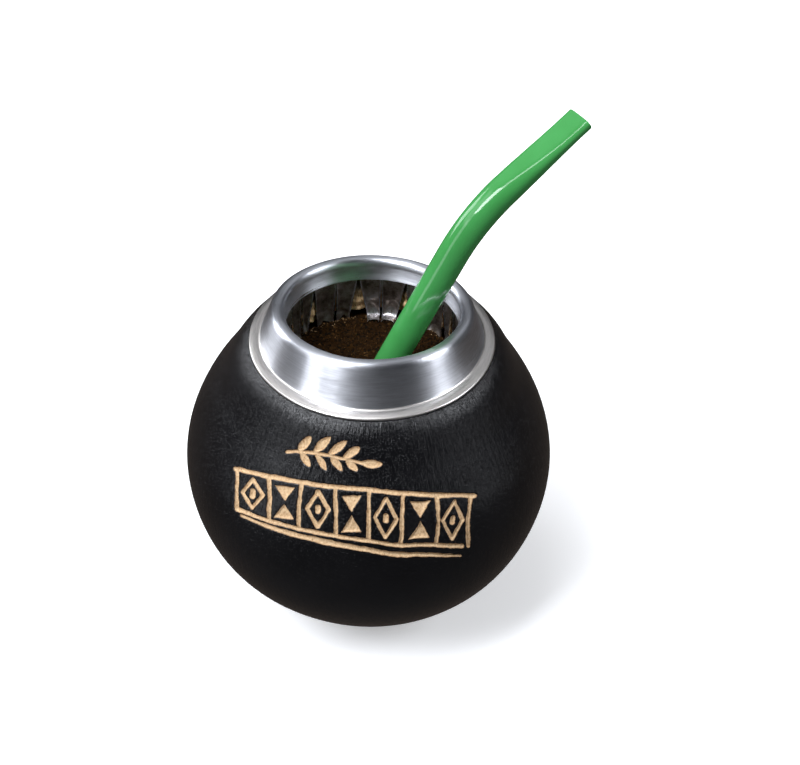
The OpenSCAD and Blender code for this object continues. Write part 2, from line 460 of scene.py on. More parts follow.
def mate_paint():
    """Damp ground leaf: dark brown, finely mottled, with black specks."""
    p = Paint("packed_mate")
    p.surface.inputs["Specular IOR Level"].default_value = 0.05
    where = p.place()
    fine = p.clouds(where, 1700.0, 5.0, 0.7)
    patch = p.clouds(where, 260.0, 3.0, 0.6)
    speck = p.clouds(where, 800.0, 2.0, 0.5)
    brown = p.ramp(fine, [(0.3, srgb(27, 15, 4)), (0.5, srgb(48, 29, 9)),
                          (0.66, srgb(61, 39, 13)), (0.8, srgb(84, 58, 26))])
    brown = p.blend(p.span(patch, 0.35, 0.62, 0.6, 0.0), brown, srgb(24, 13, 5))
    brown = p.blend(p.span(speck, 0.33, 0.39, 0.8, 0.0), brown, srgb(9, 6, 4))
    return p.finish(
        Base_Color=brown,
        Roughness=p.span(fine, 0.3, 0.7, 0.7, 0.92),
        Normal=p.bump(fine, 0.00018, strength=0.8),
    )


def grain_paint():
    """Loose leaf grains: each has its own tone, from black leaf to bare tan gourd crumbs."""
    p = Paint("mate_grains")
    p.surface.inputs["Specular IOR Level"].default_value = 0.08
    tone = p.attribute("tone")
    fine = p.clouds(p.place(), 3000.0, 2.0)
    tone = p.plus(tone, p.span(fine, 0.3, 0.7, -0.06, 0.06))
    colour = p.ramp(tone, [(0.1, srgb(11, 7, 2)), (0.4, srgb(40, 24, 8)), (0.7, srgb(56, 36, 12)),
                           (0.8, srgb(110, 80, 46)), (0.95, srgb(222, 190, 148))])
    return p.finish(Base_Color=colour, Roughness=p.span(fine, 0.3, 0.7, 0.65, 0.9))


def straw_paint():
    """Smooth glossy plastic with the faint waviness of a drawn tube."""
    p = Paint("green_straw")
    p.surface.inputs["Specular IOR Level"].default_value = 0.5
    where = p.place()
    wave = p.clouds(where, 160.0, 2.0)
    scuff = p.clouds(where, 900.0, 3.0)
    green = p.blend(p.span(wave, 0.35, 0.65), srgb(67, 151, 77), srgb(71, 156, 82))
    return p.finish(
        Base_Color=green,
        Roughness=p.span(scuff, 0.3, 0.7, 0.07, 0.12),
        Normal=p.bump(wave, 0.00001, strength=0.5),
    )


def floor_paint():
    """Plain pale floor with a painted glow that grows away from the cup to plain white, and is
    weakest near the cup.
    """
    p = Paint("pale_floor", Roughness=0.9)
    p.surface.inputs["Specular IOR Level"].default_value = 0.0
    tone = p.clouds(p.place(), 3.0, 2.0)
    x, y, _ = p.split(p.place())
    away = p.from_axis(x, y)
    return p.finish(
        Base_Color=p.blend(tone, srgb(250, 250, 250), srgb(253, 253, 253)),
        Emission_Color=(1.0, 1.0, 1.0, 1.0),
        # Painted glow, weaker near the cup.
        Emission_Strength=p.span(away, 0.04, 0.30, 0.35, 1.0),
    )


# -------- tilt of crown and collar

def crown_lift(points):
    """How much the uneven crown lifts each point: nothing at the waist, all at the collar."""
    height = points[..., 2]
    share = ease((height - 6.0) / (FOOT_Z - 6.0))
    return points[..., 1] * math.tan(math.radians(FOOT_TILT)) * share


def collar_lift(points):
    """How much the collar's tilt lifts each point, from its foot to its lip."""
    share = ease((points[..., 2] - FOOT_Z - 1.0) / (LIP_TOP - FOOT_Z - 2.0))
    inner = ease((MOUTH_R + 1.2 - np.hypot(points[..., 0], points[..., 1])) / 0.8)
    share = np.maximum(share, inner)
    along_y = mix(math.tan(math.radians(FOOT_TILT)), math.tan(math.radians(LIP_TILT)), share)
    along_x = share * math.tan(math.radians(LIP_TILT_X))
    return points[..., 1] * along_y + points[..., 0] * along_x


# -------- carving on the gourd

# The carving is laid out flat, as seen from the front and above, and cut into the wall.
CARVE_YAW = 1.7
CARVE_DOWN = 38.0
LINE = 0.52
LINE_STEPS = 14
CARVE_DEPTH = 0.5
BAND_LEFT = -28.6
BAND_RIGHT = 22.8
BAND_CELLS = 7
CARVE_LOW = -26.0
CARVE_HIGH = 9.0
FAR = 1e9


# Heights of the band's lines in the flat drawing, at a place u across it.

def band_top(u):
    return -5.72 - 0.0805 * u


def band_bottom(u):
    return -17.6 - 0.118 * u + 0.0021 * u * u


def under_line(u):
    past = u - BAND_LEFT
    return band_bottom(u) - 1.1 - 0.045 * past + 0.0004 * past ** 2


def stroke(points, widths):
    """A cut line: its points and its half width at each of them."""
    if not hasattr(widths, "__len__"):
        widths = [widths] * len(points)
    return np.array(points, float), np.array(widths, float)


def along(function, start, end, width, steps=LINE_STEPS):
    """A cut line that follows a curve across the carving."""
    us = np.linspace(start, end, steps)
    return stroke([(u, function(u)) for u in us], width)


def cell(left, right, margin):
    """Where the figure in one cell of the band has its middle, and its half size."""
    middle = (left + right) / 2
    top, bottom = band_top(middle), band_bottom(middle)
    return middle, (top + bottom) / 2, (right - left) / 2 - 1.35, (top - bottom) / 2 - margin


def lozenge(left, right):
    """A diamond that fills one cell of the band, with a dot in its middle."""
    middle, centre, half_w, half_h = cell(left, right, 1.5)
    ring = [(middle + half_w * dx, centre + half_h * dy)
            for dx, dy in ((-1, 0), (0, 1), (1, 0), (0, -1), (-1, 0))]
    return [stroke(ring, LINE * 0.86),
            stroke([(middle, centre - 0.55), (middle, centre + 0.55)], 0.62)]


def hourglass(left, right):
    """Two scraped triangles, tip to tip, in one cell of the band."""
    middle, centre, half_w, half_h = cell(left, right, 1.55)
    return [np.array([(middle, centre + 0.35 * side), (middle - half_w, centre + half_h * side),
                      (middle + half_w, centre + half_h * side)]) for side in (-1, 1)]


def leaf(base, angle, length, width):
    """A pointed leaf as a stroke that swells and narrows again."""
    a = math.radians(angle)
    ts = np.linspace(0.0, 1.0, 9)
    spine = [(base[0] + length * t * math.cos(a), base[1] + length * t * math.sin(a)) for t in ts]
    return stroke(spine, [0.12 + width * math.sin(math.pi * t) ** 0.8 for t in ts])


def sprig():
    """A small sprig of leaves above the band."""
    def stem(u):
        return 0.9 - 0.085 * (u + 8.0) + 0.9 * math.sin((u + 18.0) / 18.0 * math.pi)
    cuts = [along(stem, -17.2, -0.6, 0.34, 12)]
    for k, (u, size) in enumerate(((-14.8, 4.3), (-11.4, 4.9), (-8.0, 4.7), (-4.8, 4.0))):
        cuts.append(leaf((u, stem(u) + 0.2), 48 - 4 * k, size, 0.78))
        cuts.append(leaf((u + 0.5, stem(u) - 0.2), -56 + 3 * k, size * 0.82, 0.7))
    cuts.append(leaf((-1.2, stem(-1.2)), -4, 4.4, 0.85))
    return cuts


def carving():
    """Every stroke and every scraped triangle of the carving."""
    strokes = [
        along(band_top, BAND_LEFT - 0.4, BAND_RIGHT + 1.0, LINE * 1.08),
        along(band_bottom, BAND_LEFT + 0.2, BAND_RIGHT - 1.6, LINE),
        along(under_line, BAND_LEFT + 1.2, BAND_RIGHT - 1.8,
              [0.28 + 0.42 * math.sin(math.pi * min(1.0, t * 1.1)) ** 0.7
               for t in np.linspace(0.02, 0.9, LINE_STEPS)]),
    ]
    strokes += sprig()
    fills = []
    edges = np.linspace(BAND_LEFT, BAND_RIGHT, BAND_CELLS + 1)
    for k in range(BAND_CELLS + 1):
        u = edges[k]
        lean = 0.35 * math.sin(2.3 * k)
        strokes.append(stroke([(u, band_top(u)), (u + lean, (band_top(u) + band_bottom(u)) / 2),
                               (u + lean * 0.6, band_bottom(u))], LINE * 0.9))
    for k in range(BAND_CELLS):
        if k % 2 == 0:
            strokes += lozenge(edges[k], edges[k + 1])
        else:
            fills += hourglass(edges[k], edges[k + 1])
    return strokes, fills


def past_stroke(q, line, widths):
    """How far points of the flat drawing lie past the edge of a cut line."""
    best = np.full(len(q), FAR)
    for a, b, wa, wb in zip(line[:-1], line[1:], widths[:-1], widths[1:]):
        ab = b - a
        t = np.clip(((q - a) @ ab) / max(ab @ ab, 1e-9), 0.0, 1.0)
        away = np.linalg.norm(q - a - t[:, None] * ab, axis=1)
        best = np.minimum(best, away - mix(wa, wb, t))
    return best


def past_triangle(q, triangle):
    """How far points of the flat drawing lie past the sides of a triangle."""
    middle = triangle.mean(axis=0)
    worst = np.full(len(q), -FAR)
    for a, b in zip(triangle, np.roll(triangle, -1, axis=0)):
        normal = np.array([b[1] - a[1], a[0] - b[0]])
        normal /= np.linalg.norm(normal)
        if normal @ (middle - a) > 0:
            normal = -normal
        worst = np.maximum(worst, (q - a) @ normal)
    return worst


def carve_depth(points):
    """Signed distance into the carving, in millimetres, positive inside a cut."""
    right, up, ahead = view_axes(CARVE_YAW, CARVE_DOWN)
    uv = np.stack([points @ right, points @ up], -1)
    near = (points @ ahead < 0) & (uv[:, 0] > BAND_LEFT - 3) & (uv[:, 0] < BAND_RIGHT + 4)
    near &= (uv[:, 1] > CARVE_LOW) & (uv[:, 1] < CARVE_HIGH)
    flat = np.column_stack([uv[near], np.zeros(near.sum())])
    # A knife guided by hand strays a little.
    hand = np.column_stack([noise(flat, 7.0, 3) * 0.28 + noise(flat, 1.6, 5) * 0.07,
                            noise(flat, 7.0, 4) * 0.28 + noise(flat, 1.6, 6) * 0.07])
    q = flat[:, :2] + hand
    strokes, fills = carving()
    cuts = [past_stroke(q, *cut) for cut in strokes]
    cuts += [past_triangle(q, triangle) for triangle in fills]
    best = np.min(cuts, axis=0) + noise(flat, 0.9, 8) * 0.09 + noise(flat, 4.0, 9) * 0.09
    result = np.full(len(points), -1.0)
    result[near] = np.clip(-best, -1.0, 1.0)
    return result


# -------- gourd

# Rows of the inside profile: the neck, then the rim, then the torn flesh of the mouth hole.
NECK_ROWS = 2
RIM_ROWS = 4
FLESH_ROWS = 26
# How tan the cut rim and the top of the mouth hole are, where 0 is stained black and 1 is bare flesh;
# at the top of the hole this dark is painted shade.
FAINT_FLESH = 0.12


def crown_r(a):
    """Radius of the crown at an angle above the widest level."""
    return GOURD_R * np.cos(a) * (1.0 - CROWN_TAPER * np.sin(a) ** 2)


def gourd_outside():
    """Outer profile from the resting spot to the collar's seat, finest where it is carved."""
    spot = math.acos(SPOT_R / GOURD_R)
    seat_r = FOOT_R - 0.15
    seat = math.asin(FOOT_Z / CROWN_H)
    shoulder = math.radians(SHOULDER_ANGLE)
    low = np.linspace(-spot, math.radians(-1.0), 34)
    carved = np.linspace(0.0, math.radians(48.0), 168)
    high = np.linspace(math.radians(48.6), seat, 10)
    rows = [(GOURD_R * math.cos(a), BELLY_H * math.sin(a)) for a in low]
    lift = seat_r - float(crown_r(seat))
    for a in np.concatenate([carved, high]):
        r = float(crown_r(a)) + lift * float(ease((a - shoulder) / (seat - shoulder)))
        rows.append((r, CROWN_H * math.sin(a)))
    return rows


def gourd_inside():
    """Neck, cut rim, mouth hole and cavity, down to the middle of the cavity's floor."""
    neck_r = CREASE_R - SHEET - 0.25
    hollow_r = GOURD_R - WALL
    hollow_crown = CROWN_H - CROWN_WALL
    top = math.acos((BARK_R + 0.5) / hollow_r)
    rows = [(neck_r, FOOT_Z + 0.3), (neck_r - 0.7, FOOT_Z + 2.4), (LIP_R + 1.0, RIM - 0.25),
            (LIP_R + 0.6, RIM), (BARK_R + 0.2, RIM - 0.1), (BARK_R, RIM - 0.5)]
    rows += [(BARK_R + 0.25 * math.sin(k * 0.9), z)
             for k, z in enumerate(np.linspace(RIM - 1.0, hollow_crown * math.sin(top) + 0.4,
                                               FLESH_ROWS))]
    rows += [(hollow_r * math.cos(a), hollow_crown * math.sin(a))
             for a in np.linspace(top, 0.0, 14)]
    rows += [(hollow_r * math.cos(a), (BELLY_H - WALL) * math.sin(a))
             for a in np.linspace(-0.12, -1.5, 14)]
    return rows


def shape_skin(skin, depth):
    """The gourd's skin with its uneven growth and its carving, from points in a list."""
    away = skin / np.linalg.norm(skin, axis=1)[:, None]
    calm = ease((FOOT_Z - 1.0 - skin[:, 2]) / 10.0) * ease((skin[:, 2] + BELLY_H - 2.0) / 9.0)
    swell = noise(skin, 34.0, 21) * 0.3 + noise(skin, 13.0, 22) * 0.1
    swell = swell - FLAT_SIDE * np.maximum(0.0, skin[:, 0] / GOURD_R) ** 2
    cut = CARVE_DEPTH * ease((depth + 0.04) / 0.42)
    return skin + away * (swell * calm - cut)[:, None]


def tear_flesh(flesh):
    """Ripple the rows of torn flesh in place, and swell them out where a slit gapes."""
    ripple = rough(flesh * (1.0, 1.0, 0.45), 1.3, 3, 31)
    spread = flesh[..., :2] / np.linalg.norm(flesh[..., :2], axis=-1, keepdims=True)
    turn = np.degrees(np.arctan2(flesh[..., 1], flesh[..., 0]))
    level = np.linspace(0.0, 1.0, len(flesh))[:, None]
    swelling = sum(np.exp(-(((turn - at + 180.0) % 360.0 - 180.0) / (1.1 * gape)) ** 2)
                   for at, gape, _ in SLITS if gape >= WIDE_SLIT)
    ripple = ripple * (0.22 + 0.12 * swelling) - 1.25 * swelling * ease((level - 0.15) / 0.3)
    flesh[..., :2] += spread * ripple[..., None]


def build_gourd():
    """The hollow calabash with its carved front."""
    # Columns are close together over the carving, and far apart round the back.
    carved = np.linspace(-146.0, -50.0, 266)
    plain = np.linspace(-50.0, 214.0, 100)[1:-1]
    angles = np.concatenate([carved, plain])
    outside, inside = gourd_outside(), gourd_inside()
    grid = lathe(outside + inside, angles)
    rows, cols = grid.shape[:2]
    neck = len(outside)
    rim = neck + NECK_ROWS
    hole = rim + RIM_ROWS
    hole_end = hole + FLESH_ROWS
    skin = grid[:neck].reshape(-1, 3)
    depth = carve_depth(skin)
    grid[:neck] = shape_skin(skin, depth).reshape(grid[:neck].shape)
    lift = crown_lift(grid)
    # The mouth hole and cavity stay level; only skin, neck and rim follow the crown.
    lift[rim + 2:] = 0.0
    grid[..., 2] += lift + WAIST_Z
    tear_flesh(grid[hole:hole_end])
    # The flesh grows paler down the hole, to just past its end: its dark top rows are painted shade
    # under the rim and tabs.
    bareness_under_painted_shade = np.zeros((rows, cols))
    bareness_under_painted_shade[rim:hole] = FAINT_FLESH
    down = np.arange(FLESH_ROWS + 2)[:, None]
    bareness_under_painted_shade[hole:hole_end + 2] = FAINT_FLESH + (1.0 - FAINT_FLESH) * ease((down - 9) / 9.0)
    points = np.concatenate([[(0, 0, 0)], grid.reshape(-1, 3),
                             [(0, 0, WAIST_Z - BELLY_H + WALL)]])
    faces = list(ring_faces(rows, cols, 1)) + list(fan(0, 1, cols))
    faces += list(fan(len(points) - 1, 1 + (rows - 1) * cols, cols, flip=True))
    piece = mesh_piece("gourd_cup", points, faces, [gourd_paint()], ["gourd"])
    carve = np.full(len(points), -1.0)
    carve[1:1 + neck * cols] = depth
    point_values(piece, "carve", carve)
    point_values(piece, "flesh", np.concatenate([[0.0], bareness_under_painted_shade.reshape(-1), [0.0]]))
    return piece


# -------- collar

def cone_angle():
    """Lean of the cone that runs from the crease and just meets the rolled lip."""
    away = math.hypot(LIP_R - CREASE_R, lip_centre()[1] - CREASE_Z)
    lean = math.atan2(CREASE_R - LIP_R, lip_centre()[1] - CREASE_Z)
    return math.degrees(lean - math.asin(LIP_ROLL / away))


def lip_centre():
    """Middle of the rolled lip, in the profile."""
    return LIP_R, LIP_TOP - LIP_ROLL


# Rows of the rolled lip that are brushed like the cone below it.
BRUSHED_ROLL_ROWS = 7


def collar_profile():
    """Closed section of the sheet, and the rows where its flange, cone and lip end."""
    lean = cone_angle()
    edge = (FOOT_R - EDGE_R, FOOT_Z + EDGE_R)
    slope = math.degrees(math.atan2(CREASE_Z - edge[1] - EDGE_R, edge[0] - CREASE_R))
    flange_end = (CREASE_R + 0.5, CREASE_Z - 0.5 * math.tan(math.radians(slope)))
    cone_start = (CREASE_R - 0.45 * math.sin(math.radians(lean)),
                  CREASE_Z + 0.45 * math.cos(math.radians(lean)))
    foot = arc(edge, EDGE_R, -100, 90 - slope, 12)
    start = foot[-1]
    flange = [(mix(start[0], flange_end[0], t), mix(start[1], flange_end[1], t) + 0.09 *
               math.sin(math.pi * t)) for t in np.linspace(0.0, 1.0, 10)[1:]]
    turn = [curve_point(flange_end, (CREASE_R, CREASE_Z), cone_start, t)
            for t in np.linspace(0.0, 1.0, 7)[1:]]
    roll = arc(lip_centre(), LIP_ROLL, lean, 90, 18)
    roll += [squared(a) for a in np.linspace(96.0, 180.0, 20)]
    cone = [(mix(cone_start[0], roll[0][0], t), mix(cone_start[1], roll[0][1], t))
            for t in np.linspace(0.0, 1.0, 16)[1:-1]]
    wall = [(roll[-1][0] + 0.30 * math.sin(math.pi * t) - 0.02 * t,
             mix(roll[-1][1], SKIRT_TOP, t)) for t in np.linspace(0.0, 1.0, 14)[1:]]
    wall_end = arc((wall[-1][0] + 0.22, SKIRT_TOP), 0.22, 180, 350, 7)[1:]
    back = [(MOUTH_R + SHEET + 0.1, SKIRT_TOP + 0.6), (MOUTH_R + SHEET, lip_centre()[1])]
    inner_roll = arc(lip_centre(), LIP_ROLL - SHEET, 175, lean, 14)
    under = [(CREASE_R - SHEET, CREASE_Z - SHEET * 0.4), (CREASE_R - 0.2, CREASE_Z - SHEET - 0.1),
             (edge[0] - 0.3, FOOT_Z + 0.02)]
    outer = foot + flange + turn + cone + roll + wall + wall_end + back + inner_roll + under
    # The flange's finish ends half way round the crease, and the cone's runs on to the roll.
    flange_rows = len(foot) + len(flange) + len(turn) // 2
    roll_start = flange_rows + len(turn) // 2 + len(cone)
    return outer, flange_rows, roll_start + BRUSHED_ROLL_ROWS, roll_start + len(roll)


def squared(angle):
    """A point on the inner side of the lip, which turns down more sharply than a circle."""
    a, power = math.radians(angle), 2.0 / LIP_SQUARENESS
    centre_r, centre_z = lip_centre()
    return (centre_r - LIP_ROLL * abs(math.cos(a)) ** power,
            centre_z + LIP_ROLL * abs(math.sin(a)) ** power)


def curve_point(a, b, c, t):
    """A point on the curve that starts at a, is drawn towards b and ends at c."""
    return tuple((1 - t) ** 2 * p + 2 * t * (1 - t) * q + t * t * r for p, q, r in zip(a, b, c))


def build_collar():
    """The spun collar: hemmed flange, brushed cone, rolled lip and the wall inside it."""
    profile, flange_end, cone_end, lip_end = collar_profile()
    angles = np.linspace(0.0, 360.0, 321)[:-1]
    grid = lathe(profile + profile[:1], angles)
    grid[..., 2] += collar_lift(grid)
    # A spun sheet is never quite round.
    turn = np.radians(angles)
    spun = 0.05 * np.sin(3 * turn + 0.6) + 0.035 * np.sin(7 * turn + 2.0)
    grid[..., 0] += spun * np.cos(turn)
    grid[..., 1] += spun * np.sin(turn)
    grid[..., 2] += WAIST_Z
    cols, rows = len(angles), len(profile)
    faces = ring_faces(rows + 1, cols) % (rows * cols)
    row = np.arange(len(faces)) // cols
    slots = np.select([row < flange_end, row < cone_end, row < lip_end], [1, 0, 2], 0)
    cone = brushed_paint("brushed_collar", ALUMINIUM, 0.36, 0.96, 0.00001)
    # Painted reflection: the flange's warm tint.
    flange = brushed_paint("satin_flange", ALUMINIUM_WARM_REFLECTION, 0.36, 0.2, 0.000004)
    lip = brushed_paint("polished_lip", ALUMINIUM, 0.34, 0.8, 0.000006)
    points = grid[:rows].reshape(-1, 3)
    return mesh_piece("collar_ring", points, faces, [cone, flange, lip], ["collar"],
                      slots)


# Slits between the tabs: where each is, in degrees from +X, how wide it opens below, in mm,
# and how far that opening is shifted to the left, seen from inside.
SLITS = [(6, 1.2, 0), (20, 2.6, 0.4), (33, 1.2, -0.2), (48, 1.0, 0.3), (66, 2.9, 0.9),
         (84, 0.55, 0), (100, 4.3, 0), (116, 0.8, 0.3), (134, 2.8, 0.6), (147, 1.2, 0),
         (160, 1.8, 0.3), (173, 1.0, 0), (190, 2.2, -0.3), (209, 1.4, 0), (227, 3.0, 0.3),
         (246, 1.2, 0), (264, 2.6, 0), (282, 1.5, 0.3), (301, 2.8, -0.2), (321, 1.3, 0),
         (344, 2.4, 0)]
# How far each tab's end is folded inwards, in degrees, and the length of that end, in mm.
FOLDS = [(20, 0.6), (12, 0.6), (35, 0.8), (10, 0.7), (84, 1.9), (88, 2.2), (10, 0.5), (14, 0.5),
         (24, 0.6), (50, 0.7), (15, 0.5), (40, 0.7), (20, 0.6), (30, 0.7), (15, 0.6), (45, 0.8),
         (20, 0.6), (15, 0.6), (40, 0.8), (15, 0.6), (30, 0.7)]
TAB_SHEET = 0.3
# A slit this wide, in mm, lets the flesh behind it swell out.
WIDE_SLIT = 2.6
TAB_TOP = SKIRT_TOP + 0.5
TAB_TOP_R = 20.0
TAB_SPREAD = 3.0
# How far down a tab its end begins to fold.
FOLD_START = TAB_TOP - SKIRT_LOW - 0.7


def fold_path(fold, end, rows):
    """Down the middle of a tab: its radius, its height and the way gone at each row."""
    u = np.linspace(0.0, 1.0, rows) ** 0.8 * (FOLD_START + 1.0 + end)
    tilt = np.radians(-TAB_SPREAD + (fold + TAB_SPREAD) * ease((u - FOLD_START) / 1.3))
    step = np.diff(u, prepend=0.0)
    return TAB_TOP_R - np.cumsum(np.sin(tilt) * step), TAB_TOP - np.cumsum(np.cos(tilt) * step), u


def build_tabs():
    """The slit skirt: one creased tab between each pair of slits, folded down by hand."""
    across, down = 21, 30
    spread = np.sin(np.linspace(-1.0, 1.0, across) * math.pi / 2)[None, :]
    points, faces, shine = [], [], []
    for k, (start, opening, shift) in enumerate(SLITS):
        end, next_opening, next_shift = SLITS[(k + 1) % len(SLITS)]
        if end < start:
            end += 360
        fold, tail = FOLDS[k]
        radius, height, u = (v[:, None] for v in fold_path(fold, tail, down))
        t = np.minimum(u / (SKIRT_TOP - SKIRT_LOW), 1.0)
        widen = 0.10 + 0.90 * t ** 1.1
        left = start + np.degrees((opening * 0.5 * widen + shift * t) / TAB_TOP_R)
        right = end - np.degrees((next_opening * 0.5 * widen - next_shift * t) / TAB_TOP_R)
        angle = mix(left, right, (spread + 1.0) / 2.0)
        flat = np.stack(np.broadcast_arrays(angle * 0.35 + 40.0 * k, u, 0.0 * u), -1)
        low = ease((u - 5.5) / 3.0)
        crease = noise(flat, 3.4, 40 + k) * 0.16 * ease(u / 2.0)
        crease = crease + (noise(flat, 1.3, 70 + k) * 0.22 + noise(flat, 0.7, 90 + k) * 0.08) * low
        bow = 0.30 * (1.0 - spread ** 2) * t - 0.42 * np.abs(spread) ** 9 * ease(u / 3.0)
        lower = height + (noise(flat, 1.5, 110 + k) * 0.16) * low - 0.3 * low * spread ** 2
        radius = radius + bow + crease
        front = polar(radius, angle, lower)
        back = polar(radius + TAB_SHEET, angle, lower - 0.2 * low)
        base = len(points)
        points += front.reshape(-1, 3).tolist() + back.reshape(-1, 3).tolist()
        faces += sheet_faces(down, across, base)
        # Cut edges and folded ends get a painted highlight, a paler metal colour.
        folded = ease((u - FOLD_START) / 1.2) * (fold > 60)
        painted_glint = np.maximum(ease((np.abs(spread) - 0.84) / 0.1) * ease(u / 2.0), folded)
        painted_glint = np.broadcast_to(painted_glint, (down, across)).reshape(-1).tolist()
        shine += painted_glint + painted_glint
    points = np.array(points)
    points[:, 2] += collar_lift(points) + WAIST_Z
    piece = mesh_piece("collar_tabs", points, faces, [tab_paint()], sharp=50)
    point_values(piece, "painted_glint", shine)
    return piece


def polar(radius, degrees, height):
    """Points from a radius, an angle and a height, each a number or a grid."""
    a = np.radians(degrees)
    return np.stack(np.broadcast_arrays(radius * np.cos(a), radius * np.sin(a), height), -1)


def sheet_faces(rows, cols, base):
    """Faces of a thin closed sheet: a front grid, a back grid and the strip round them."""
    half = rows * cols
    faces = []
    for r in range(rows - 1):
        for c in range(cols - 1):
            a = base + r * cols + c
            faces.append((a, a + 1, a + cols + 1, a + cols))
            faces.append((half + a, half + a + cols, half + a + cols + 1, half + a + 1))
    border = [(0, c) for c in range(cols)]
    border += [(r, cols - 1) for r in range(1, rows)]
    border += [(rows - 1, c) for c in range(cols - 2, -1, -1)]
    border += [(r, 0) for r in range(rows - 2, 0, -1)]
    ids = [base + r * cols + c for r, c in border]
    for a, b in zip(ids, ids[1:] + ids[:1]):
        faces.append((b, a, half + a, half + b))
    return faces


# -------- mate

def mate_height(x, y):
    """Height of the mate's uneven surface above the widest level."""
    r = np.hypot(x, y)
    flat = np.stack([x, y, np.zeros_like(x)], -1)
    broad = noise(flat, 9.0, 51) * 0.3 + noise(flat, 4.0, 52) * 0.16
    fine = rough(flat, 1.5, 3, 53) * 0.11
    fine = fine + np.maximum(0.0, noise(flat, 0.8, 57) - 0.2) * 0.16
    heap = 0.5 * ease((r - 15.5) / 4.0)
    calm = ease((23.5 - r) / 3.0)
    return MATE_TOP - MATE_FALL * (r / MATE_R) ** 2 - 0.25 + (broad + fine + heap) * calm


def build_mate():
    """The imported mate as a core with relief, down to the bottom of the cavity."""
    angles = np.linspace(0.0, 360.0, 361)[:-1]
    radii = np.concatenate([np.linspace(0.35, 21.0, 68), np.linspace(21.8, 24.2, 4)])
    hollow_r = GOURD_R - WALL - MATE_GAP
    crown = CROWN_H - CROWN_WALL - MATE_GAP
    belly = BELLY_H - WALL - MATE_GAP
    edge = math.asin((MATE_TOP - MATE_FALL - 0.3) / crown)
    top = lathe([(r, 0.0) for r in radii], angles)
    top[..., 2] = mate_height(top[..., 0], top[..., 1])
    sides = [(hollow_r * math.cos(a), crown * math.sin(a)) for a in np.linspace(edge, 0.0, 8)]
    sides += [(hollow_r * math.cos(a), belly * math.sin(a)) for a in np.linspace(-0.2, -1.5, 10)]
    grid = np.concatenate([top, lathe(sides, angles)])
    rows, cols = grid.shape[:2]
    middle = float(mate_height(np.zeros(1), np.zeros(1))[0])
    points = np.concatenate([[(0, 0, middle)], grid.reshape(-1, 3), [(0, 0, -belly)]])
    points[:, 2] += WAIST_Z
    faces = [f[::-1] for f in ring_faces(rows, cols, 1)] + list(fan(0, 1, cols, flip=True))
    faces += list(fan(len(points) - 1, 1 + (rows - 1) * cols, cols))
    return mesh_piece("mate_core", points, faces, [mate_paint()], ["mate"])


# A flake of leaf before it is sized and turned: a small box of eight corners.
SHARD = np.array([(-1, -1, -1), (1, -1, -1), (1, 1, -1), (-1, 1, -1),
                  (-1, -1, 1), (1, -1, 1), (1, 1, 1), (-1, 1, 1)], float)
SHARD_FACES = np.array([(0, 3, 2, 1), (4, 5, 6, 7), (0, 1, 5, 4), (1, 2, 6, 5), (2, 3, 7, 6),
                        (3, 0, 4, 7)])


def build_grains(count=9000, crumbs=900):
    """Loose flakes of leaf on the mate, and crumbs of gourd along its edge, in one mesh."""
    rng = np.random.default_rng(11)
    radius = 20.2 * np.sqrt(rng.random(count))
    turn = rng.random(count) * 2 * math.pi
    tone = 0.75 * rng.random(count)
    edge_r = 20.4 - 1.9 * rng.random(crumbs) ** 2.2
    edge_turn = rng.random(crumbs) * 2 * math.pi
    bare = 0.5 + 0.5 * np.sin(3 * edge_turn + 1.7) * np.sin(7 * edge_turn)
    edge_tone = np.where(rng.random(crumbs) < 0.1 + 0.4 * bare, 0.76 + 0.18 * rng.random(crumbs),
                         0.6 * rng.random(crumbs))
    radius, turn = np.append(radius, edge_r), np.append(turn, edge_turn)
    tone = np.append(tone, edge_tone)
    x, y = radius * np.cos(turn), radius * np.sin(turn)
    clear = np.hypot((x - STRAW_AT[0]) * 0.9, y - STRAW_AT[1]) > STRAW_R + 0.15
    x, y, tone = x[clear], y[clear], tone[clear]
    count = len(x)
    z = mate_height(x, y)
    length = 0.10 + 0.28 * rng.random(count) ** 2.6
    size = np.stack([length, length * (0.3 + 0.6 * rng.random(count)),
                     0.05 + 0.09 * rng.random(count)], -1)
    corner = SHARD[None] * size[:, None, :] * (1.0 + 0.35 * (rng.random((count, 8, 3)) - 0.5))
    spin = rng.random(count) * 2 * math.pi
    corner = turned(corner, (rng.random(count) - 0.5) * 1.1, 1, 2)
    corner = turned(corner, (rng.random(count) - 0.5) * 1.1, 0, 2)
    corner = turned(corner, spin, 0, 1)
    corner += np.stack([x, y, z + 0.03], -1)[:, None, :]
    points = corner.reshape(-1, 3)
    points[:, 2] += WAIST_Z
    faces = (SHARD_FACES[None] + 8 * np.arange(count)[:, None, None]).reshape(-1, 4)
    piece = mesh_piece("mate_grains", points, faces, [grain_paint()])
    piece.data.polygons.foreach_set("use_smooth", np.zeros(len(piece.data.polygons), bool))
    point_values(piece, "tone", np.repeat(tone, 8))
    return piece


def turned(points, angle, i, j):
    """Points turned in the plane of axes i and j, each set by its own angle."""
    c, s = np.cos(angle)[:, None], np.sin(angle)[:, None]
    result = points.copy()
    result[..., i] = c * points[..., i] - s * points[..., j]
    result[..., j] = s * points[..., i] + c * points[..., j]
    return result


# -------- straw

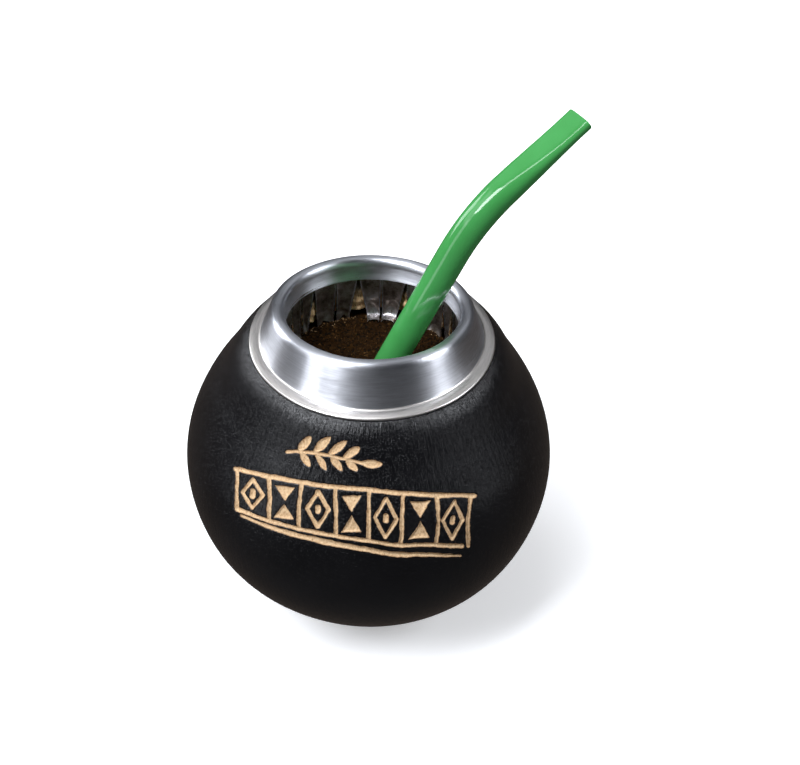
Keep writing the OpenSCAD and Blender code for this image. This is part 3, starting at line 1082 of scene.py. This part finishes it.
def straw_line():
    """Stations along the straw: point, direction and how far it is flattened."""
    low, high = heading(*STRAW_LEAN), heading(*MOUTHPIECE_LEAN)
    bend = math.acos(float(low @ high))
    inward = high - low * (low @ high)
    inward /= np.linalg.norm(inward)
    side = np.cross(low, inward)
    entry = np.array([*STRAW_AT, WAIST_Z + MATE_TOP])
    stations = [(entry + low * s, low, 0.0) for s in np.linspace(-STRAW_SUNK, -6.0, 6)]
    stations += [(entry + low * s, low, 0.0) for s in np.linspace(-4.0, STRAW_RISE, 14)]
    start = entry + low * STRAW_RISE
    for a in np.linspace(0.0, bend, 30)[1:]:
        point = start + BEND_R * (math.sin(a) * low + (1 - math.cos(a)) * inward)
        flat = flatness(MOUTHPIECE_L + BEND_R * (bend - a))
        stations.append((point, math.cos(a) * low + math.sin(a) * inward, flat))
    end = stations[-1][0]
    for t in np.linspace(0.0, 1.0, 40)[1:]:
        stations.append((end + high * MOUTHPIECE_L * t, high, flatness(MOUTHPIECE_L * (1 - t))))
    return stations, side


def flatness(to_tip):
    """How flat the tube is at a distance from its tip: 0 where round, 1 at the mouth."""
    return float(ease(1.1 * (1.0 - to_tip / FLATTEN_L)))


def straw_ring(point, direction, flat, side, inset, sides):
    """Points round the straw at one station, drawn in from its skin by an inset."""
    across = mix(STRAW_R, MOUTHPIECE_W / 2, flat) - inset
    through = mix(STRAW_R, MOUTHPIECE_T / 2, flat) - inset
    power = 2.0 / mix(2.0, MOUTHPIECE_SQUARENESS, flat)
    twist = math.radians(MOUTHPIECE_TWIST * flat)
    side = math.cos(twist) * side + math.sin(twist) * np.cross(side, direction)
    up = np.cross(side, direction)
    a = np.linspace(0.0, 2 * math.pi, sides + 1)[:-1]
    c, s = np.cos(a), np.sin(a)
    u = across * np.sign(c) * np.abs(c) ** power
    v = through * np.sign(s) * np.abs(s) ** power
    return point + u[:, None] * side + v[:, None] * up


def build_straw():
    """The bent tube with its flattened mouthpiece, open at both ends, with a rounded mouth."""
    sides = 96
    stations, side = straw_line()
    tip, direction, tip_flat = stations[-1]
    rings = [straw_ring(point, ahead, flat, side, 0.0, sides) for point, ahead, flat in stations[:-1]]
    quarter = np.linspace(0.0, math.pi / 2, 5)
    for a in quarter:
        back, inset = TIP_ROUND * (1 - math.sin(a)), TIP_ROUND * (1 - math.cos(a))
        rings.append(straw_ring(tip - direction * back, direction, tip_flat, side, inset, sides))
    for a in quarter[::-1]:
        back, inset = TIP_ROUND * (1 - math.sin(a)), STRAW_WALL - TIP_ROUND * (1 - math.cos(a))
        rings.append(straw_ring(tip - direction * back, direction, tip_flat, side, inset, sides))
    for point, ahead, flat in reversed(stations[:-1]):
        rings.append(straw_ring(point, ahead, flat, side, STRAW_WALL, sides))
    grid = np.array(rings)
    rows = len(grid)
    faces = [f[::-1] for f in ring_faces(rows + 1, sides) % (rows * sides)]
    return mesh_piece("drinking_straw", grid.reshape(-1, 3), faces, [straw_paint()],
                      ["straw"])


# -------- camera, floor and light

def add_camera():
    """The camera at the viewing angle, aimed with a slight roll."""
    up_angle = math.radians(CAMERA_UP)
    place = CENTRE + CAMERA_AWAY * np.array([0.0, -math.cos(up_angle), math.sin(up_angle)])
    right, up, ahead = view_axes(CAMERA_YAW, CAMERA_DOWN)
    roll = math.radians(CAMERA_ROLL)
    x_axis = math.cos(roll) * right + math.sin(roll) * up
    y_axis = math.cos(roll) * up - math.sin(roll) * right
    data = bpy.data.cameras.new("camera")
    data.lens = CAMERA_LENS
    data.sensor_width = 36.0
    data.clip_start = 0.01
    camera = bpy.data.objects.new("camera", data)
    basis = Matrix((x_axis, y_axis, -ahead)).transposed().to_4x4()
    camera.matrix_world = Matrix.Translation(Vector(place * MM)) @ basis
    show(camera)
    bpy.context.scene.camera = camera


# The floor, in metres: its width, and how far it lies under the gourd's resting spot.
FLOOR_WIDTH = 5.0
FLOOR_GAP = 0.00005


def add_floor():
    """A plain pale floor."""
    mesh = bpy.data.meshes.new("floor")
    half = FLOOR_WIDTH / 2
    mesh.from_pydata([(-half, -half, 0), (half, -half, 0), (half, half, 0), (-half, half, 0)],
                     [], [(0, 1, 2, 3)])
    mesh.materials.append(floor_paint())
    floor = bpy.data.objects.new("floor", mesh)
    floor.location.z = -FLOOR_GAP
    # The floor is seen by the camera only, so that it doesn't light the cup from below.
    floor.visible_glossy = False
    floor.visible_diffuse = False
    floor.visible_shadow = False
    show(floor)


# Soft boxes: name, azimuth and elevation, width and height in metres, and radiance.
# A strong key on the left, a weaker light on the right, and dim fill behind.
SOFT_BOXES = [
    ("key", -50, 55, 0.35, 0.65, 16.0),
    ("key_top", -40, 80, 0.15, 0.40, 8.0),
    ("key_side", -75, 45, 0.80, 0.70, 2.0),
    ("key_low", -60, 10, 0.35, 1.00, 2.5),
    ("left", -120, 25, 0.50, 0.60, 6.0),
    ("right", 80, 40, 0.55, 0.50, 7.0),
    ("right_low", 70, 10, 0.30, 0.60, 1.5),
    ("behind", 180, 60, 1.80, 1.20, 0.4),
]
BOX_AWAY = 1.2
BOX_TINT = (0.95, 0.975, 1.03)


def soft_box(name, azimuth, elevation, wide, high, glow):
    """A soft light at an angle from the front (azimuth, to the right) aimed at the collar."""
    a, e = math.radians(azimuth), math.radians(elevation)
    target = Vector((0, 0, (WAIST_Z + 0.5 * FOOT_Z) * MM))
    back = Vector((math.sin(a) * math.cos(e), -math.cos(a) * math.cos(e), math.sin(e)))
    data = bpy.data.lights.new(name, "AREA")
    data.shape = "RECTANGLE"
    data.size, data.size_y = wide, high
    data.energy = glow * math.pi * wide * high
    data.color = BOX_TINT
    lamp = bpy.data.objects.new(name, data)
    lamp.location = target + back * BOX_AWAY
    lamp.rotation_mode = "QUATERNION"
    lamp.rotation_quaternion = back.to_track_quat("Z", "Y")
    lamp.visible_camera = False
    show(lamp)


def add_lights():
    """All the soft boxes."""
    for box in SOFT_BOXES:
        soft_box(*box)


# Colours of the dim surroundings: overhead, and low in front and behind.
WORLD_UP = (0.026, 0.027, 0.030, 1.0)
WORLD_FRONT = (0.09, 0.09, 0.095, 1.0)
WORLD_BACK = (0.080, 0.066, 0.058, 1.0)


def add_world():
    """Dim surroundings, warmer low behind, and plain white where the camera sees past the floor."""
    world = bpy.data.worlds.new("studio")
    world.use_nodes = True
    n = Nodes(world.node_tree)
    _, y, z = n.split(n.add("ShaderNodeTexCoord").outputs["Generated"])
    below = n.blend(n.span(y, -0.25, 0.25), WORLD_FRONT, WORLD_BACK)
    around = n.blend(n.span(z, -0.12, 0.12), below, WORLD_UP)
    seen = n.add("ShaderNodeLightPath").outputs["Is Camera Ray"]
    colour = n.blend(seen, around, (1.0, 1.0, 1.0, 1.0))
    n.put(world.node_tree.nodes["Background"], {"Color": colour})
    bpy.context.scene.world = world


add_camera()
add_floor()
add_lights()
add_world()
build_gourd()
build_collar()
build_tabs()
build_mate()
build_grains()
build_straw()
bpy.context.scene.view_settings.view_transform = "Standard"
